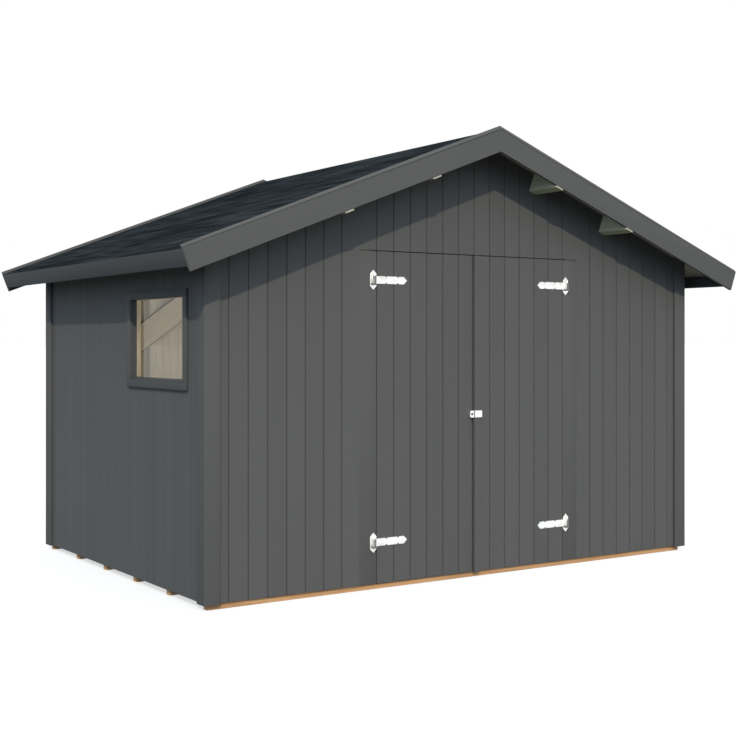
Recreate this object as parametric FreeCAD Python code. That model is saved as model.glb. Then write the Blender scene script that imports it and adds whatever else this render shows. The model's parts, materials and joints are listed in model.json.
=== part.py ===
import FreeCAD, Part
import math
import os

# Timber garden shed with a double door, one window and a low gable roof.
# Millimetres. X runs across the door front, Y from front to back, Z up from the ground.

# Walls
frame_width = 3600.0
frame_depth = 2440.0
clad_thickness = 16.0
board_pitch = 120.0
stud_width = 45.0
stud_depth = 45.0
plate_height = 45.0

# Floor
joist_count = 6
joist_width = 45.0
joist_height = 70.0
joist_drop = 34.0
floor_thickness = 20.0

# Corner boards
corner_thickness = 18.0
corner_width = 95.0
corner_drop = 4.0

# Braces across the rear studs, seen through the window
wall_brace_slope = 35.6
wall_brace_width = 176.0
wall_brace_thickness = 20.0
wall_brace_head = 646.0

# Roof
roof_slope = 21.0
eave_reach = 251.0
front_overhang = 240.0
rear_overhang = 214.0
deck_thickness = 16.0
felt_thickness = 3.0
barge_thickness = 18.0
barge_width = 145.0
barge_rise = 18.0
barge_bevel_drop = 14.0
barge_bevel_depth = 9.0
fascia_thickness = 18.0
fascia_width = 96.0
purlin_width = 58.0
purlin_depth = 118.0
purlin_first = 545.0
purlin_spacing = 641.0
ridge_purlin_depth = 95.0
rafter_depth = 70.0

# Double door
boards_per_leaf = 6
door_height = 1936.0
wall_above_door = 22.0
side_gap = 5.0
meeting_gap = 7.0
meeting_set_left = 13.5
cover_strip_width = 40.0
cover_strip_thickness = 16.0
cover_strip_drop = 4.0
rebate_overlap = 22.0
rebate_gap = 5.0
post_width = 60.0
ledge_width = 95.0
ledge_thickness = 20.0
ledge_margin = 150.0
ledge_end_gap = 12.0
brace_width = 80.0

# Hinges
lower_hinge_rise = 240.0
upper_hinge_drop = 170.0
hinge_set_out = 25.0
hinge_plate_width = 44.0
hinge_plate_height = 116.0
hinge_plate_point = 22.0
hinge_plate_thickness = 3.0
pin_radius = 6.5
pin_clearance = 0.05
pin_proud = 6.0
eye_wall = 4.5
eye_clearance = 2.0
strap_height = 44.0
strap_thickness = 4.0
strap_reach = 238.0
strap_point = 22.0
strap_notch_radius = 6.5
strap_notch_first = 91.0
strap_notch_pitch = 83.0
strap_notch_count = 2
strap_flat_setback = 6.0
strap_crank_run = 12.0
collar_radius = 15.0
collar_height = 9.0
collar_gap = 0.3

# Lock
lock_height = 965.0
lock_case_height = 42.0
lock_case_thickness = 5.0
lock_case_reach = 45.0
lock_keeper_reach = 47.0
lock_keeper_corner = 8.0
lock_pocket_width = 16.0
lock_pocket_height = 12.0
lock_pocket_depth = 9.0

# Window in the left wall, measured back from the front cladding face and down from the door's top
window_start = 262.0
window_width = 741.0
window_head_drop = 280.0
window_height = 474.0
trim_width = 45.0
trim_thickness = 16.0
lining_thickness = 18.0
lining_depth = 61.0
sill_edge = 3.0
sill_rise = 12.0
glass_thickness = 4.0
glass_setback = 46.0

# Derived places
slope = math.radians(roof_slope)
frame_half = frame_width / 2
clad_half = frame_half + clad_thickness
corner_half = clad_half + corner_thickness
inner_half = frame_half - stud_depth
module_half = (boards_per_leaf + 1) * board_pitch
door_half = boards_per_leaf * board_pitch
leaf_outer = door_half - side_gap / 2
right_leaf_inner = meeting_gap / 2 - meeting_set_left
left_leaf_inner = meeting_gap / 2 + meeting_set_left
jamb_edge = door_half + side_gap / 2

roof_length = (frame_depth + 2 * (clad_thickness + corner_thickness) + front_overhang + rear_overhang)
roof_front = -roof_length / 2
roof_back = roof_length / 2
front_face = roof_front + front_overhang + corner_thickness
front_frame = front_face + clad_thickness
front_inner = front_frame + stud_depth
back_frame = front_frame + frame_depth
back_face = back_frame + clad_thickness
back_inner = back_frame - stud_depth

clad_base = joist_drop
floor_top = joist_height + floor_thickness
door_top = clad_base + door_height
plate_top = door_top + wall_above_door
ridge_under_deck = plate_top + clad_half * math.tan(slope)
eave_run = (clad_half + eave_reach) / math.cos(slope)
felt_top = deck_thickness + felt_thickness
barge_top = felt_top + barge_rise

hinge_heights = (clad_base + lower_hinge_rise, door_top - upper_hinge_drop)
hinge_x = door_half + hinge_set_out
hinge_y = front_face - hinge_plate_thickness - eye_clearance - eye_wall - pin_radius
eye_radius = pin_radius + pin_clearance + eye_wall

window_y0 = front_face + window_start
window_y1 = window_y0 + window_width
window_z1 = door_top - window_head_drop
window_z0 = window_z1 - window_height

REACH = 2 * roof_length + 2 * frame_width


def vec(x, y, z):
    return FreeCAD.Vector(x, y, z)


def box(x0, x1, y0, y1, z0, z1):
    return Part.makeBox(x1 - x0, y1 - y0, z1 - z0, vec(x0, y0, z0))


def prism(outline, y0, y1):
    """Solid from an outline of (x, z) corners, drawn out along Y."""
    corners = [vec(x, y0, z) for x, z in outline]
    face = Part.Face(Part.makePolygon(corners + corners[:1]))
    return face.extrude(vec(0, y1 - y0, 0))


def slab_from_plan(outline, z0, z1):
    """Solid from a plan of (x, y) corners, drawn up along Z."""
    corners = [vec(x, y, z0) for x, y in outline]
    face = Part.Face(Part.makePolygon(corners + corners[:1]))
    return face.extrude(vec(0, 0, z1 - z0))


def mirrored(shape):
    return shape.mirror(vec(0, 0, 0), vec(1, 0, 0))


def pair(shape):
    """A right-hand solid and its mirror image on the left."""
    return [shape, mirrored(shape)]


def under_deck(x, lift=0.0):
    """Height of the roof boards' underside at x, or of the plane a lift above it."""
    return ridge_under_deck + lift / math.cos(slope) - abs(x) * math.tan(slope)


def slope_point(run, lift):
    """Point on the right slope: run down from the ridge, then lift square to the slope."""
    x = run * math.cos(slope) + lift * math.sin(slope)
    z = ridge_under_deck - run * math.sin(slope) + lift * math.cos(slope)
    return (x, z)


def under_roof(x0, x1, z0, y0, y1, lift=0.0):
    """Upright slab between x0 and x1 on one side of the ridge, its top cut to the roof slope."""
    outline = [(x0, z0), (x1, z0), (x1, under_deck(x1, lift)), (x0, under_deck(x0, lift))]
    return prism(outline, y0, y1)


# Floor

def floor_joists():
    pitch = (frame_depth - joist_width) / (joist_count - 1)
    joists = []
    for index in range(joist_count):
        y0 = front_frame + index * pitch
        joists.append(box(-frame_half, frame_half, y0, y0 + joist_width, 0, joist_height))
    joists[0] = joists[0].cut(door_rebate())
    return joists


def door_rebate():
    """Space behind the closed leaves, kept free in the floor edge, posts and head."""
    return box(-jamb_edge, jamb_edge, front_frame - rebate_gap, front_frame + rebate_gap,
               clad_base - rebate_gap, door_top + side_gap / 2)


def floor_boards():
    boards = box(-frame_half, frame_half, front_frame, back_frame, joist_height, floor_top)
    return [boards.cut(door_rebate())]


# Roof timbers

def purlin(run):
    half = purlin_width / 2
    outline = [slope_point(run - half, 0), slope_point(run + half, 0),
               slope_point(run + half, -purlin_depth), slope_point(run - half, -purlin_depth)]
    return prism(outline, roof_front + barge_thickness, roof_back - barge_thickness)


def purlin_runs():
    return [purlin_first, purlin_first + purlin_spacing]


def purlins():
    solids = []
    for run in purlin_runs():
        solids += pair(purlin(run))
    return solids


def ridge_purlin():
    half = purlin_width / 2
    low = under_deck(half) - ridge_purlin_depth
    outline = [(-half, low), (half, low), (half, under_deck(half)), (0, under_deck(0)), (-half, under_deck(half))]
    return [prism(outline, roof_front + barge_thickness, roof_back - barge_thickness)]


def cut_for_purlins(shape):
    for timber in purlins() + ridge_purlin():
        shape = shape.cut(timber)
    return shape


# Wall cladding

def side_wall():
    return under_roof(frame_half, clad_half, clad_base, front_frame, back_frame)


def window_hole():
    return box(-corner_half, -inner_half, window_y0 - lining_thickness, window_y1 + lining_thickness,
               window_z0 - lining_thickness, window_z1 + lining_thickness)


def left_wall():
    return [mirrored(side_wall()).cut(window_hole())]


def right_wall():
    return [side_wall()]


def rear_wall():
    outline = [(-clad_half, clad_base), (clad_half, clad_base), (clad_half, under_deck(clad_half)),
               (0, under_deck(0)), (-clad_half, under_deck(clad_half))]
    return [cut_for_purlins(prism(outline, back_frame, back_face))]


def front_wall_right():
    return [cut_for_purlins(under_roof(module_half, clad_half, clad_base, front_face, front_frame))]


def front_wall_left():
    return [mirrored(solid) for solid in front_wall_right()]


def front_gable():
    z0 = door_top + side_gap / 2
    outline = [(-module_half, z0), (module_half, z0), (module_half, under_deck(module_half)),
               (0, under_deck(0)), (-module_half, under_deck(module_half))]
    return [cut_for_purlins(prism(outline, front_face, front_frame))]


def door_jamb_boards():
    return pair(box(jamb_edge, module_half, front_face, front_frame, clad_base, door_top - side_gap / 2))


def corner_board(end_face, outward, inner_step):
    """Two boards round one right-hand corner: one faces the gable, one faces the side."""
    gable_y = sorted([end_face, end_face + outward * corner_thickness])
    side_y = sorted([end_face + outward * corner_thickness, end_face + inner_step])
    foot = clad_base - corner_drop
    gable_board = under_roof(corner_half - corner_width, clad_half, foot, gable_y[0], gable_y[1])
    side_board = under_roof(clad_half, corner_half, foot, side_y[0], side_y[1])
    return gable_board.fuse(side_board).removeSplitter()


def front_corner_boards():
    return pair(corner_board(front_face, -1, corner_width - corner_thickness))


def rear_corner_boards():
    return pair(corner_board(back_face, 1, corner_thickness - corner_width))


# Wall framing

def side_stud_places():
    """Near edges of the side studs: corners, both sides of the window, and one between."""
    first_after = window_y1 + lining_thickness
    last = back_inner
    middle = (first_after + stud_width + last) / 2 - stud_width / 2
    return [front_frame, window_y0 - lining_thickness - stud_width, first_after, middle, last]


def stud_foot():
    return floor_top + plate_height


def side_studs():
    solids = []
    top = plate_top - plate_height
    for y0 in side_stud_places():
        solids += pair(box(inner_half, frame_half, y0, y0 + stud_width, stud_foot(), top))
    return solids


def gable_stud(run, y0, z0):
    """Stud that carries a purlin, from z0 up to the purlin's underside."""
    half = stud_width / 2
    left = slope_point(run, -purlin_depth)
    centre = left[0]
    outline = [(centre - half, z0), (centre + half, z0), (centre + half, under_deck(centre + half, -purlin_depth)),
               (centre - half, under_deck(centre - half, -purlin_depth))]
    return prism(outline, y0, y0 + stud_depth)


def ridge_stud(y0, z0):
    half = stud_width / 2
    top = under_deck(purlin_width / 2) - ridge_purlin_depth
    return box(-half, half, y0, y0 + stud_depth, z0, top)


def end_studs():
    solids = []
    rear_y = back_inner
    for run in purlin_runs():
        solids += pair(gable_stud(run, rear_y, plate_top))
        centre = slope_point(run, -purlin_depth)[0]
        solids += pair(box(centre - stud_width / 2, centre + stud_width / 2, rear_y, back_frame,
                           stud_foot(), plate_top - plate_height))
        solids += pair(gable_stud(run, front_frame, plate_top))
    solids.append(ridge_stud(rear_y, plate_top))
    solids.append(ridge_stud(front_frame, plate_top))
    solids.append(box(-stud_width / 2, stud_width / 2, rear_y, back_frame, stud_foot(), plate_top - plate_height))
    mid = (door_half + post_width + inner_half) / 2
    solids += pair(box(mid - stud_width / 2, mid + stud_width / 2, front_frame, front_inner,
                       stud_foot(), plate_top - plate_height))
    return solids


def wall_studs():
    return side_studs() + end_studs()


def side_wall_plates():
    sole = box(inner_half, frame_half, front_frame, back_frame, floor_top, stud_foot())
    head = under_roof(inner_half, frame_half, plate_top - plate_height, front_frame, back_frame)
    return pair(sole) + pair(head)


def post_outer():
    return door_half - rebate_overlap + post_width


def end_wall_plates():
    rear_sole = box(-inner_half, inner_half, back_inner, back_frame, floor_top, stud_foot())
    rear_head = box(-inner_half, inner_half, back_inner, back_frame, plate_top - plate_height, plate_top)
    front_sole = box(post_outer(), inner_half, front_frame, front_inner, floor_top, stud_foot())
    front_head = box(post_outer(), inner_half, front_frame, front_inner, plate_top - plate_height, plate_top)
    return [rear_sole, rear_head] + pair(front_sole) + pair(front_head)


def door_posts():
    inner = door_half - rebate_overlap
    post = box(inner, post_outer(), front_frame, front_inner, floor_top, plate_top)
    return pair(post.cut(door_rebate()))


def door_head():
    inner = door_half - rebate_overlap
    head = box(-inner, inner, front_frame, front_inner, door_top - rebate_overlap, plate_top)
    return [head.cut(door_rebate())]


def rear_wall_braces():
    """Slanting boards nailed across the rear studs, from each corner up to the head plate."""
    top = plate_top - plate_height
    fall = math.tan(math.radians(wall_brace_slope))
    upright = wall_brace_width / math.cos(math.radians(wall_brace_slope))
    corner_top = top - (inner_half - wall_brace_head) * fall
    outline = [(wall_brace_head, top), (inner_half, corner_top), (inner_half, corner_top - upright),
               (wall_brace_head - upright / fall, top)]
    return pair(prism(outline, back_inner - wall_brace_thickness, back_inner))


def gable_rafters():
    solids = []
    heel = (under_deck(0, -rafter_depth) - plate_top) / math.tan(slope)
    outline = [(0, under_deck(0, -rafter_depth)), (heel, plate_top), (inner_half, plate_top),
               (inner_half, under_deck(inner_half)), (0, under_deck(0))]
    for y0, y1 in ((front_frame, front_inner), (back_inner, back_frame)):
        rafter = cut_for_purlins(prism(outline, y0, y1))
        for piece in rafter.Solids:
            solids += pair(piece)
    return solids


# Roof covering and edge boards

def right_roof_deck():
    outline = [(0, under_deck(0)), slope_point(eave_run - fascia_thickness, 0),
               slope_point(eave_run - fascia_thickness, deck_thickness), (0, under_deck(0, deck_thickness))]
    return [prism(outline, roof_front + barge_thickness, roof_back - barge_thickness)]


def left_roof_deck():
    return [mirrored(solid) for solid in right_roof_deck()]


def right_roof_felt():
    outline = [(0, under_deck(0, deck_thickness)), slope_point(eave_run, deck_thickness),
               slope_point(eave_run, felt_top), (0, under_deck(0, felt_top))]
    return [prism(outline, roof_front + barge_thickness, roof_back - barge_thickness)]


def left_roof_felt():
    return [mirrored(solid) for solid in right_roof_felt()]


def bargeboard(outer_y, inward):
    """Right-hand bargeboard: a bevelled section drawn down the slope, mitred at the ridge."""
    section = [(0, barge_top - barge_width), (0, barge_top - barge_bevel_drop),
               (barge_bevel_depth, barge_top), (barge_thickness, barge_top),
               (barge_thickness, barge_top - barge_width)]
    lead = barge_width
    corners = []
    for depth, lift in section:
        x, z = slope_point(-lead, lift)
        corners.append(vec(x, outer_y + inward * depth, z))
    face = Part.Face(Part.makePolygon(corners + corners[:1]))
    down = vec(math.cos(slope), 0, -math.sin(slope))
    board = face.extrude(down * (eave_run + lead))
    return board.cut(box(-REACH, 0, -REACH, REACH, 0, REACH))


def front_right_bargeboard():
    return [bargeboard(roof_front, 1)]


def front_left_bargeboard():
    return [mirrored(bargeboard(roof_front, 1))]


def rear_right_bargeboard():
    return [bargeboard(roof_back, -1)]


def rear_left_bargeboard():
    return [mirrored(bargeboard(roof_back, -1))]


def eave_fascias():
    inner = eave_run - fascia_thickness
    low = deck_thickness - fascia_width
    outline = [slope_point(inner, deck_thickness), slope_point(eave_run, deck_thickness),
               slope_point(eave_run, low), slope_point(inner, low)]
    return pair(prism(outline, roof_front + barge_thickness, roof_back - barge_thickness))


# Doors, each leaf drawn on the right from the place of its inner edge

def leaf_boards(leaf_inner):
    return box(leaf_inner, leaf_outer, front_face, front_frame, clad_base, door_top - side_gap / 2)


def cover_strip():
    """Upright strip on the right leaf along the meeting edges."""
    return box(right_leaf_inner, right_leaf_inner + cover_strip_width, front_face - cover_strip_thickness,
               front_face, clad_base - cover_strip_drop, door_top - side_gap / 2)


def ledge_span(leaf_inner):
    inner = leaf_inner + ledge_end_gap
    outer = door_half - rebate_overlap - ledge_end_gap
    return inner, outer


def ledge_feet():
    """Lower edges of the three ledges, the middle one half way between the others."""
    low = clad_base + ledge_margin
    high = door_top - ledge_margin - ledge_width
    return [low, (low + high) / 2, high]


def leaf_ledges(leaf_inner):
    inner, outer = ledge_span(leaf_inner)
    solids = []
    for z0 in ledge_feet():
        solids.append(box(inner, outer, front_frame, front_frame + ledge_thickness, z0, z0 + ledge_width))
    return solids


def leaf_braces(leaf_inner):
    """Diagonal boards between the ledges, each rising from the hinge side to the meeting side."""
    inner, outer = ledge_span(leaf_inner)
    solids = []
    feet = ledge_feet()
    for low, z1 in zip(feet[:-1], feet[1:]):
        z0 = low + ledge_width
        foot = brace_width / math.sin(math.atan2(z1 - z0, outer - inner - brace_width))
        outline = [(outer, z0), (outer - foot, z0), (inner, z1), (inner + foot, z1)]
        solids.append(prism(outline, front_frame, front_frame + ledge_thickness))
    return solids


# Hinges, drawn for the right leaf

def hinge_plate(z_mid):
    """Pointed plate on the jamb board, with a round collar that carries the upright pin."""
    half = hinge_plate_width / 2
    tall = hinge_plate_height / 2
    straight = tall - hinge_plate_point
    outline = [(hinge_x - half, z_mid - straight), (hinge_x, z_mid - tall), (hinge_x + half, z_mid - straight),
               (hinge_x + half, z_mid + straight), (hinge_x, z_mid + tall), (hinge_x - half, z_mid + straight)]
    plate_front = front_face - hinge_plate_thickness
    plate = prism(outline, plate_front, front_face)
    collar_top = z_mid - strap_height / 2 - collar_gap
    collar_foot = collar_top - collar_height
    neck = box(hinge_x - collar_radius, hinge_x + collar_radius, hinge_y, plate_front, collar_foot, collar_top)
    collar = Part.makeCylinder(collar_radius, collar_height, vec(hinge_x, hinge_y, collar_foot))
    collar = collar.common(box(-REACH, REACH, -REACH, plate_front, -REACH, REACH))
    pin_top = z_mid + strap_height / 2 + pin_proud
    pin = Part.makeCylinder(pin_radius, pin_top - collar_top, vec(hinge_x, hinge_y, collar_top))
    return plate.fuse([neck, collar, pin]).removeSplitter()


def strap_flat(z_mid):
    """The strap beyond its crank: a pointed end, and half-round notches in both edges."""
    start = leaf_outer - strap_flat_setback
    end = hinge_x - strap_reach
    half = strap_height / 2
    shoulder = end + strap_point
    outline = [(start, z_mid + half), (shoulder, z_mid + half), (end, z_mid),
               (shoulder, z_mid - half), (start, z_mid - half)]
    flat = prism(outline, front_face - strap_thickness, front_face)
    for index in range(strap_notch_count):
        x = hinge_x - strap_notch_first - index * strap_notch_pitch
        for edge in (z_mid - half, z_mid + half):
            flat = flat.cut(Part.makeCylinder(strap_notch_radius, strap_thickness,
                                              vec(x, front_face - strap_thickness, edge), vec(0, 1, 0)))
    return flat


def hinge_strap(z_mid):
    """Notched strap on the leaf, cranked forward to an eye that turns on the pin."""
    low = z_mid - strap_height / 2
    start = leaf_outer - strap_flat_setback
    crest = start + strap_crank_run
    back = hinge_y + eye_radius
    front = back - strap_thickness
    crank_plan = [(start, front_face), (crest, back), (hinge_x, back), (hinge_x, front),
                  (crest, front), (start, front_face - strap_thickness)]
    crank = slab_from_plan(crank_plan, low, low + strap_height)
    eye = Part.makeCylinder(eye_radius, strap_height, vec(hinge_x, hinge_y, low))
    bore = Part.makeCylinder(pin_radius + pin_clearance, strap_height, vec(hinge_x, hinge_y, low))
    return strap_flat(z_mid).fuse([crank, eye]).cut(bore).removeSplitter()


def hinge_plates():
    solids = []
    for z in hinge_heights:
        solids += pair(hinge_plate(z))
    return solids


def leaf_straps():
    return [hinge_strap(z) for z in hinge_heights]


# Lock

def lock_heights():
    middle = clad_base + lock_height
    return middle - lock_case_height / 2, middle + lock_case_height / 2


def lock_front():
    """The case and the keeper stand level, a case's thickness in front of the cover strip."""
    return front_face - cover_strip_thickness - lock_case_thickness


def lock_case():
    """Case on the cover strip, with a foot on the boards beside the strip."""
    z0, z1 = lock_heights()
    strip_edge = right_leaf_inner + cover_strip_width
    case = box(right_leaf_inner, lock_case_reach, lock_front(), front_face - cover_strip_thickness, z0, z1)
    foot = box(strip_edge, lock_case_reach, lock_front(), front_face, z0, z1)
    return [case.fuse(foot).removeSplitter()]


def lock_keeper():
    """Keeper block on the left leaf, with round outer corners and a pocket in its face."""
    z0, z1 = lock_heights()
    block = box(-lock_keeper_reach, -left_leaf_inner, lock_front(), front_face, z0, z1)
    outer_edges = [edge for edge in block.Edges
                   if edge.BoundBox.YLength > lock_case_thickness
                   and edge.BoundBox.XMax < -lock_keeper_reach + lock_keeper_corner]
    block = block.makeFillet(lock_keeper_corner, outer_edges)
    middle_x = -(lock_keeper_reach + left_leaf_inner) / 2
    middle_z = (z0 + z1) / 2
    pocket = box(middle_x - lock_pocket_width / 2, middle_x + lock_pocket_width / 2,
                 lock_front(), lock_front() + lock_pocket_depth,
                 middle_z - lock_pocket_height / 2, middle_z + lock_pocket_height / 2)
    return [block.cut(pocket)]


# Window

def window_side_trims():
    solids = []
    for y0 in (window_y0 - trim_width, window_y1):
        solids.append(box(-clad_half - trim_thickness, -clad_half, y0, y0 + trim_width, window_z0, window_z1))
    return solids


def glass_face():
    return -clad_half - trim_thickness + glass_setback


def window_sill():
    """Sloping sill inside the opening, falling from the pane to the face of the boards."""
    outline = [(-clad_half, window_z0), (glass_face(), window_z0),
               (glass_face(), window_z0 + sill_edge + sill_rise), (-clad_half, window_z0 + sill_edge)]
    return [prism(outline, window_y0, window_y1)]


def window_head_and_apron():
    """The trims over and under the window."""
    solids = []
    for z0 in (window_z1, window_z0 - trim_width):
        solids.append(box(-clad_half - trim_thickness, -clad_half,
                          window_y0 - trim_width, window_y1 + trim_width, z0, z0 + trim_width))
    return solids


def lining_x():
    return -clad_half, -clad_half + lining_depth


def window_jambs():
    x0, x1 = lining_x()
    solids = []
    for y0 in (window_y0 - lining_thickness, window_y1):
        solids.append(box(x0, x1, y0, y0 + lining_thickness, window_z0, window_z1))
    return solids


def window_lining_ends():
    x0, x1 = lining_x()
    y0 = window_y0 - lining_thickness
    y1 = window_y1 + lining_thickness
    return [box(x0, x1, y0, y1, window_z1, window_z1 + lining_thickness),
            box(x0, x1, y0, y1, window_z0 - lining_thickness, window_z0)]


def window_glass():
    x0 = glass_face()
    return [box(x0, x0 + glass_thickness, window_y0, window_y1, window_z0, window_z1)]


def on_left(solids):
    return [mirrored(solid) for solid in solids]


def nodes():
    return {
        "floor_joists": floor_joists(),
        "floor_boards": floor_boards(),
        "left_wall": left_wall(),
        "right_wall": right_wall(),
        "rear_wall": rear_wall(),
        "front_wall_left": front_wall_left(),
        "front_wall_right": front_wall_right(),
        "front_gable": front_gable(),
        "door_jamb_boards": door_jamb_boards(),
        "front_corner_boards": front_corner_boards(),
        "rear_corner_boards": rear_corner_boards(),
        "wall_studs": wall_studs(),
        "side_wall_plates": side_wall_plates(),
        "end_wall_plates": end_wall_plates(),
        "door_posts": door_posts(),
        "door_head": door_head(),
        "gable_rafters": gable_rafters(),
        "rear_wall_braces": rear_wall_braces(),
        "purlins": purlins(),
        "ridge_purlin": ridge_purlin(),
        "left_roof_deck": left_roof_deck(),
        "right_roof_deck": right_roof_deck(),
        "left_roof_felt": left_roof_felt(),
        "right_roof_felt": right_roof_felt(),
        "front_left_bargeboard": front_left_bargeboard(),
        "front_right_bargeboard": front_right_bargeboard(),
        "rear_left_bargeboard": rear_left_bargeboard(),
        "rear_right_bargeboard": rear_right_bargeboard(),
        "eave_fascias": eave_fascias(),
        "left_door_boards": on_left([leaf_boards(left_leaf_inner)]),
        "left_door_ledges": on_left(leaf_ledges(left_leaf_inner)),
        "left_door_braces": on_left(leaf_braces(left_leaf_inner)),
        "left_door_straps": on_left(leaf_straps()),
        "right_door_boards": [leaf_boards(right_leaf_inner).fuse(cover_strip()).removeSplitter()],
        "right_door_ledges": leaf_ledges(right_leaf_inner),
        "right_door_braces": leaf_braces(right_leaf_inner),
        "right_door_straps": leaf_straps(),
        "hinge_plates": hinge_plates(),
        "lock_case": lock_case(),
        "lock_keeper": lock_keeper(),
        "window_side_trims": window_side_trims(),
        "window_head_and_apron": window_head_and_apron(),
        "window_sill": window_sill(),
        "window_jambs": window_jambs(),
        "window_lining_ends": window_lining_ends(),
        "window_glass": window_glass(),
    }


def main():
    os.makedirs("parts", exist_ok=True)
    for name, solids in nodes().items():
        shape = solids[0] if len(solids) == 1 else Part.makeCompound(solids)
        shape.exportStep(os.path.join("parts", name + ".step"))
        print(name, len(shape.Solids), shape.isValid(), round(shape.Volume / 1e9, 5))


main()
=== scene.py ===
import json
import math

import bmesh
import bpy
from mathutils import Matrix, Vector

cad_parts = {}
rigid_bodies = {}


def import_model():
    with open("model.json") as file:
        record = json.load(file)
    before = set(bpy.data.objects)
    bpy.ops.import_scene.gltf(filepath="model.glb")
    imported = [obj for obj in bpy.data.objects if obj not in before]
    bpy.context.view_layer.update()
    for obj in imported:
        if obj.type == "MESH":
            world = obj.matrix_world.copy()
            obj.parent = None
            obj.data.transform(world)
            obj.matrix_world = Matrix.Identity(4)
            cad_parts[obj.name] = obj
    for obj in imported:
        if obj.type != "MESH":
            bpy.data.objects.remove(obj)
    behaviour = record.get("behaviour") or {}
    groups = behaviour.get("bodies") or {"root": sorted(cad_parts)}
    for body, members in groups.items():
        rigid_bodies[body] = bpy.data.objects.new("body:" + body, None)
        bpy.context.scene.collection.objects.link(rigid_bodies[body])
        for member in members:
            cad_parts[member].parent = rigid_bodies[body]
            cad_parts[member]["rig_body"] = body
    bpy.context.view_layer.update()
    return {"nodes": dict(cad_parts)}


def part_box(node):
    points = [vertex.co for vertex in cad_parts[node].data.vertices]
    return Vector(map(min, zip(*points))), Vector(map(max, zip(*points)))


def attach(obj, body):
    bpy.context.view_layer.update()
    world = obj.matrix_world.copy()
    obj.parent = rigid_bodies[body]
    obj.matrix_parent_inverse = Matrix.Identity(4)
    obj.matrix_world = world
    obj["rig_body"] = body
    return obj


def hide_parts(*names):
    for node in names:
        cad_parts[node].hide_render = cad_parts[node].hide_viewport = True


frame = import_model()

# Timber tool shed: painted boards, felt roof, double door on strap hinges, one window.
# Metres. X runs across the door front, Y from front to back, Z up from the ground.

# Camera of the photograph, whose picture is square
PICTURE = 736.0
FOCAL_PIXELS = 1256.1
HORIZON_PIXEL = 343.3
CAMERA_PLACE = (-4.781, -7.293, 1.431)
CAMERA_TURN = -33.39
SENSOR = 36.0

# Light: a low sun from the front left, a sky of three tints, and two lamps in the room
SUN_TRAVEL = (0.448, 0.713, -0.537)
SUN_STRENGTH = 1.82
SUN_COLOUR = (0.92, 0.83, 0.69)
SUN_ANGLE = 0.6
SKY_LEFT = (0.66, 0.90, 1.18)
SKY_RIGHT = (1.08, 1.10, 1.08)
SKY_TOP = (0.98, 1.06, 1.16)
SKY_FRONT_STRENGTH = 1.22
SKY_BACK_STRENGTH = 0.80
FLOOR_SIZE = 600.0
FLOOR_SEEN = 0.45
FLOOR_GLOW = 0.62
FLOOR_BOUNCE = 0.10
ROOM_LAMPS = (((0.10, 0.95, 2.45), 7.5, 0.08), ((-0.30, -0.90, 2.40), 14.0, 0.5))
ROOM_LAMP_COLOUR = (1.0, 1.06, 1.12)

# Boards
BOARD_PITCH = 0.120
SIDE_GROOVE_FIRST = 0.178
COVER_STRIP_EDGE = 0.035
GROOVE_MOUTH = 0.0052
GROOVE_HALF = 0.0008
GROOVE_EASE = 0.0022
GROOVE_DEPTH = 0.0070
SIDE_GROOVE_MOUTH = 0.0016
SIDE_GROOVE_EASE = 0.0006
OVER_FACE = 0.0008
SLIT_HALF = 0.0010
SLIT_DEPTH = 0.0030
SLIT_MARGIN = 1e-4

# Geometry in general: how far cutters reach past what they cut, and how near counts as the same place
OVERSHOOT = 0.02
NEAR = 1e-4
SAME_POINT = 1e-5
EDGE_ROUND = 0.0015
EDGE_SEGMENTS = 2
SHARP_DEGREES = 40
SMOOTH_DEGREES = 35

# Roof, bargeboards with a bead line, and braces
SLOPE = math.radians(21.0)
BARGE_DEPTH = 0.145
BEAD_LINE_DROP = 0.0165
BEAD_LINE_HALF = 0.0011
BEAD_LINE_DEPTH = 0.0025
LIP_SETBACK = 0.003
LIP_GAP = 0.0004
LIP_ROUND = 0.001
FELT_ROUND = 0.001
BRACE_SLOPE = math.radians(35.6)
BRACE_ARRIS = 0.006
GAP_SHADE_DEPTH = 0.012

# Share of a face's normal along an axis, from which the face counts as looking that way
LOOKS_ALONG = 0.9
LOOKS_HALFWAY = 0.5
LOOKS_ACROSS = 0.1
FLAT_BRACE_FACE = 0.97

# Hinges and lock
HINGE_X = 0.745
HINGE_LEVELS = (0.274, 1.800)
COLLAR_RADIUS = 0.015
COLLAR_REACH = 0.0098
EYE_SHADE_HALF = 0.0085
EYE_FRONT = -1.236
STRAP_HEIGHT = 0.044
STRAP_THICKNESS = 0.004
PLATE_THICKNESS = 0.003
PLATE_ROUND = 0.0005
POCKET_WIDTH = 0.016
POCKET_HEIGHT = 0.012
POCKET_DEPTH = 0.009
POCKET_SLACK = 0.0005
POCKET_SUNK = 0.3
BOLT_END_ROUND = 0.0004
HEAD_SIDES = 24
HEAD_SMOOTH_DEGREES = 50
DOME_STEPS = 6
DOME_FOOT = 0.15
BOLT_FROM_AXIS = 0.052
BOLT_RADIUS = 0.0155
BOLT_HEIGHT = 0.0065
SCREWS_FROM_AXIS = (0.132, 0.216)
SCREW_RADIUS = 0.0045
SCREW_HEIGHT = 0.0016
SCREW_PROFILE = ((1.0, 0.0), (1.0, 0.4), (0.8, 1.0), (0.35, 1.0), (0.3, 0.3))
PLATE_SCREW_RISE = 0.041


# Geometry helpers

def new_object(name, mesh):
    thing = bpy.data.objects.new(name, mesh)
    bpy.context.scene.collection.objects.link(thing)
    return thing


def mesh_object(name, points, faces):
    mesh = bpy.data.meshes.new(name)
    mesh.from_pydata(points, [], faces)
    mesh.update()
    return new_object(name, mesh)


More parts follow.
